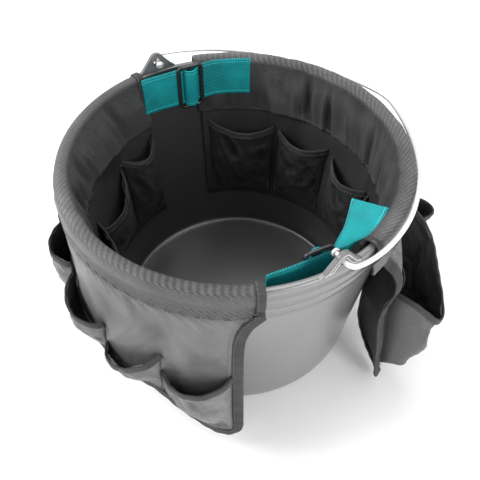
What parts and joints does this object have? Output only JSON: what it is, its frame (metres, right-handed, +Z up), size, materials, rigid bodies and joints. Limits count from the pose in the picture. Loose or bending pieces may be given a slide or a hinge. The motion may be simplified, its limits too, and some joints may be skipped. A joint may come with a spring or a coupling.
{
  "type": "bucket tool organizer",
  "caption": "Two-part sewn tool organizer folded over the rim of a round bucket with a wire bail, with outer and inner pockets, a pouch, a holster and webbing straps.",
  "frame": {"origin": "centre of the bucket's underside", "axes": "+Z up; X along the bail's hinge axis, +X through the front ear; the half with the pliers pockets hangs on the -Y side, the half with the pouch and holster on the +Y side"},
  "size_m": [0.4203, 0.4606, 0.2844],
  "materials": {
    "bucket_plastic": "satin moulded silver-grey, lightly scuffed",
    "ear_plastic": "satin moulded grey",
    "bail_wire": "pale zinc-coated wire",
    "rim_weave": "coarse ballistic weave with light flecks",
    "pocket_cloth": "coated grey nylon",
    "lining_cloth": "near-black coated nylon",
    "binding_tape": "ribbed dark grey tape",
    "webbing": "ribbed teal webbing",
    "buckle_metal": "dark gunmetal, semi-gloss"
  },
  "bodies": {
    "bucket": {"bucket_shell": "bucket_plastic", "drill_front_edge_binding": "binding_tape", "drill_hem_binding": "binding_tape", "drill_holster": "pocket_cloth", "drill_holster_binding": "binding_tape", "drill_inner_panel": "lining_cloth", "drill_inner_pocket_1": "lining_cloth", "drill_inner_pocket_1_binding": "binding_tape", "drill_inner_pocket_2": "lining_cloth", "drill_inner_pocket_2_binding": "binding_tape", "drill_inner_pocket_3": "lining_cloth", "drill_inner_pocket_3_binding": "binding_tape", "drill_inner_pocket_4": "lining_cloth", "drill_inner_pocket_4_binding": "binding_tape", "drill_outer_panel": "pocket_cloth", "drill_rear_edge_binding": "binding_tape", "drill_rim_band": "rim_weave", "ear_front": "ear_plastic", "ear_rear": "ear_plastic", "flat_pocket": "pocket_cloth", "flat_pocket_binding": "binding_tape", "front_strap": "webbing", "front_strap_tail": "webbing", "pliers_front_edge_binding": "binding_tape", "pliers_hem_binding": "binding_tape", "pliers_inner_panel": "lining_cloth", "pliers_inner_pocket_1": "lining_cloth", "pliers_inner_pocket_1_binding": "binding_tape", "pliers_inner_pocket_2": "lining_cloth", "pliers_inner_pocket_2_binding": "binding_tape", "pliers_inner_pocket_3": "lining_cloth", "pliers_inner_pocket_3_binding": "binding_tape", "pliers_inner_pocket_4": "lining_cloth", "pliers_inner_pocket_4_binding": "binding_tape", "pliers_outer_panel": "pocket_cloth", "pliers_outer_pocket_1": "pocket_cloth", "pliers_outer_pocket_1_binding": "binding_tape", "pliers_outer_pocket_2": "pocket_cloth", "pliers_outer_pocket_2_binding": "binding_tape", "pliers_outer_pocket_3": "pocket_cloth", "pliers_outer_pocket_3_binding": "binding_tape", "pliers_outer_pocket_4": "pocket_cloth", "pliers_outer_pocket_4_binding": "binding_tape", "pliers_outer_pocket_5": "pocket_cloth", "pliers_outer_pocket_5_binding": "binding_tape", "pliers_outer_pocket_6": "pocket_cloth", "pliers_outer_pocket_6_binding": "binding_tape", "pliers_rear_edge_binding": "binding_tape", "pliers_rim_band": "rim_weave", "pouch": "pocket_cloth", "pouch_binding": "binding_tape", "rear_strap": "webbing", "slim_sleeve": "pocket_cloth", "slim_sleeve_binding": "binding_tape"},
    "bail": {"bail_wire": "bail_wire"},
    "rear_buckle": {"rear_buckle": "buckle_metal", "rear_buckle_lap": "webbing"},
    "front_buckle": {"front_buckle": "buckle_metal", "front_buckle_lap": "webbing"}
  },
  "joints": [
    {"name": "bail_swing", "type": "hinge", "parent": "bucket", "child": "bail", "pos_m": [0, 0, 0.274], "axis": [1, 0, 0], "range_deg": [0, 190]},
    {"name": "rear_buckle_slide", "type": "slide", "parent": "bucket", "child": "rear_buckle", "axis": [-0.1219, -0.9925, 0], "range_m": [-0.01, 0.01]},
    {"name": "front_buckle_slide", "type": "slide", "parent": "bucket", "child": "front_buckle", "axis": [0.1045, 0.9945, 0], "range_m": [-0.01, 0.01]}
  ]
}
